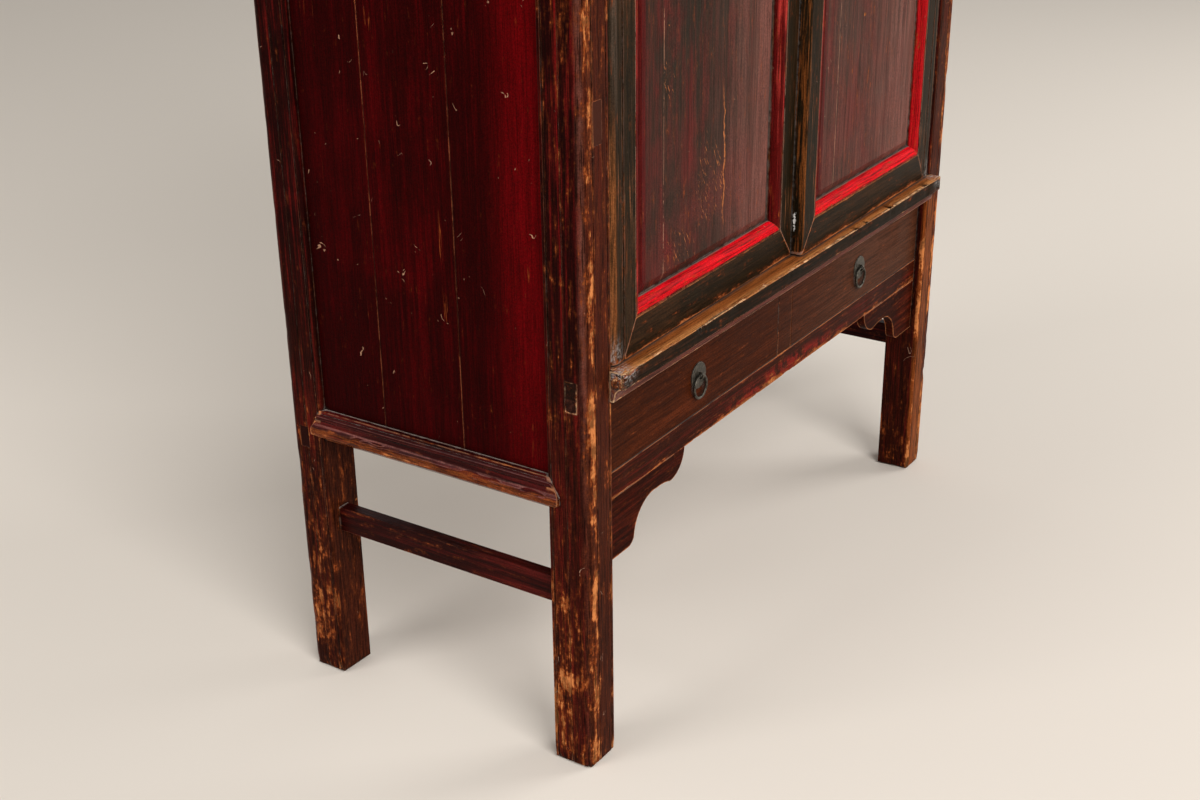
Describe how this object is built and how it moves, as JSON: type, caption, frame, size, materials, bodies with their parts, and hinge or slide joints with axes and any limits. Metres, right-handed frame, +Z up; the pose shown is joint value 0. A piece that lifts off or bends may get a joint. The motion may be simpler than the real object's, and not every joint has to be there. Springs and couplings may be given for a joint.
{
  "type": "chinese wedding cabinet",
  "caption": "Tall lacquered wooden cabinet on square legs, with hinged panelled doors over drawers, ring pulls, scrolled spandrels and inside shelves.",
  "frame": {"origin": "centre of the bounding box in plan, on the floor under the feet", "axes": "+Z up; -Y is the front with the doors and drawers; +X is to the right of someone who faces the front"},
  "size_m": [1.084, 0.494, 1.76],
  "materials": {
    "post_lacquer": "worn dark maroon-brown lacquer, satin",
    "side_lacquer": "worn deep red lacquer with dark clouding, satin",
    "door_frame_lacquer": "worn green-black lacquer, satin",
    "moulding_lacquer": "worn bright red lacquer, satin",
    "door_panel_lacquer": "streaked maroon-brown lacquer, satin",
    "sill_lacquer": "worn black lacquer with tan edges, satin",
    "drawer_lacquer": "thin dark brown lacquer over open grain",
    "rail_lacquer": "worn dark red lacquer, satin",
    "raw_wood": "bare aged elm, matt",
    "dark_iron": "dark patinated metal, satin"
  },
  "bodies": {
    "carcass": {"door_sill": "sill_lacquer", "drawer_rail": "rail_lacquer", "lintel": "rail_lacquer", "drawer_muntin": "drawer_lacquer", "back_lower_rail": "raw_wood", "back_middle_rail": "raw_wood", "back_upper_rail": "raw_wood", "back_boards": "raw_wood", "drawer_floor": "raw_wood", "cabinet_floor": "raw_wood", "shelf_lower": "raw_wood", "shelf_upper": "raw_wood", "drawer_guides": "raw_wood", "top_frame": "post_lacquer", "top_panel": "side_lacquer", "post_front_left": "post_lacquer", "post_front_right": "post_lacquer", "post_back_left": "post_lacquer", "post_back_right": "post_lacquer", "side_lower_rail_left": "rail_lacquer", "side_lower_rail_right": "rail_lacquer", "side_upper_rail_left": "rail_lacquer", "side_upper_rail_right": "rail_lacquer", "side_stretcher_left": "rail_lacquer", "side_stretcher_right": "rail_lacquer", "side_boards_left": "side_lacquer", "side_boards_right": "side_lacquer", "side_bearers_left": "raw_wood", "side_bearers_right": "raw_wood", "spandrel_left": "rail_lacquer", "spandrel_right": "rail_lacquer"},
    "door_left": {"door_hinge_stile_left": "door_frame_lacquer", "door_meeting_stile_left": "door_frame_lacquer", "door_bottom_rail_left": "door_frame_lacquer", "door_top_rail_left": "door_frame_lacquer", "door_panel_left": "door_panel_lacquer", "door_moulding_left": "moulding_lacquer", "door_battens_left": "raw_wood", "door_pull_plate_left": "dark_iron"},
    "drawer_left": {"drawer_front_left": "drawer_lacquer", "drawer_box_left": "raw_wood", "drawer_bottom_left": "raw_wood", "drawer_pull_plate_left": "dark_iron"},
    "door_ring_left": {"door_pull_ring_left": "dark_iron"},
    "drawer_ring_left": {"drawer_pull_ring_left": "dark_iron"},
    "door_right": {"door_hinge_stile_right": "door_frame_lacquer", "door_meeting_stile_right": "door_frame_lacquer", "door_bottom_rail_right": "door_frame_lacquer", "door_top_rail_right": "door_frame_lacquer", "door_panel_right": "door_panel_lacquer", "door_moulding_right": "moulding_lacquer", "door_battens_right": "raw_wood", "door_pull_plate_right": "dark_iron"},
    "drawer_right": {"drawer_front_right": "drawer_lacquer", "drawer_box_right": "raw_wood", "drawer_bottom_right": "raw_wood", "drawer_pull_plate_right": "dark_iron"},
    "door_ring_right": {"door_pull_ring_right": "dark_iron"},
    "drawer_ring_right": {"drawer_pull_ring_right": "dark_iron"}
  },
  "joints": [
    {"name": "door_left_hinge", "type": "hinge", "parent": "carcass", "child": "door_left", "pos_m": [-0.4597, -0.2075, 0.53], "axis": [0, 0, -1], "range_deg": [0, 94.1]},
    {"name": "door_right_hinge", "type": "hinge", "parent": "carcass", "child": "door_right", "pos_m": [0.4597, -0.2075, 0.53], "axis": [0, 0, 1], "range_deg": [-2, 92.1]},
    {"name": "drawer_left_slide", "type": "slide", "parent": "carcass", "child": "drawer_left", "axis": [0, -1, 0], "range_m": [0, 0.3]},
    {"name": "drawer_right_slide", "type": "slide", "parent": "carcass", "child": "drawer_right", "axis": [0, -1, 0], "range_m": [0, 0.3]},
    {"name": "drawer_ring_left_hinge", "type": "hinge", "parent": "drawer_left", "child": "drawer_ring_left", "pos_m": [-0.247, -0.2109, 0.43925], "axis": [-1, 0, 0], "range_deg": [0, 100]},
    {"name": "drawer_ring_right_hinge", "type": "hinge", "parent": "drawer_right", "child": "drawer_ring_right", "pos_m": [0.247, -0.2109, 0.43925], "axis": [-1, 0, 0], "range_deg": [0, 100]},
    {"name": "door_ring_left_hinge", "type": "hinge", "parent": "door_left", "child": "door_ring_left", "pos_m": [-0.01845, -0.21623, 1.1], "axis": [-0.9998, -0.0192, 0], "range_deg": [0, 100]},
    {"name": "door_ring_right_hinge", "type": "hinge", "parent": "door_right", "child": "door_ring_right", "pos_m": [0.01903, -0.23162, 1.1], "axis": [-0.9999, -0.0157, 0], "range_deg": [0, 100]}
  ]
}
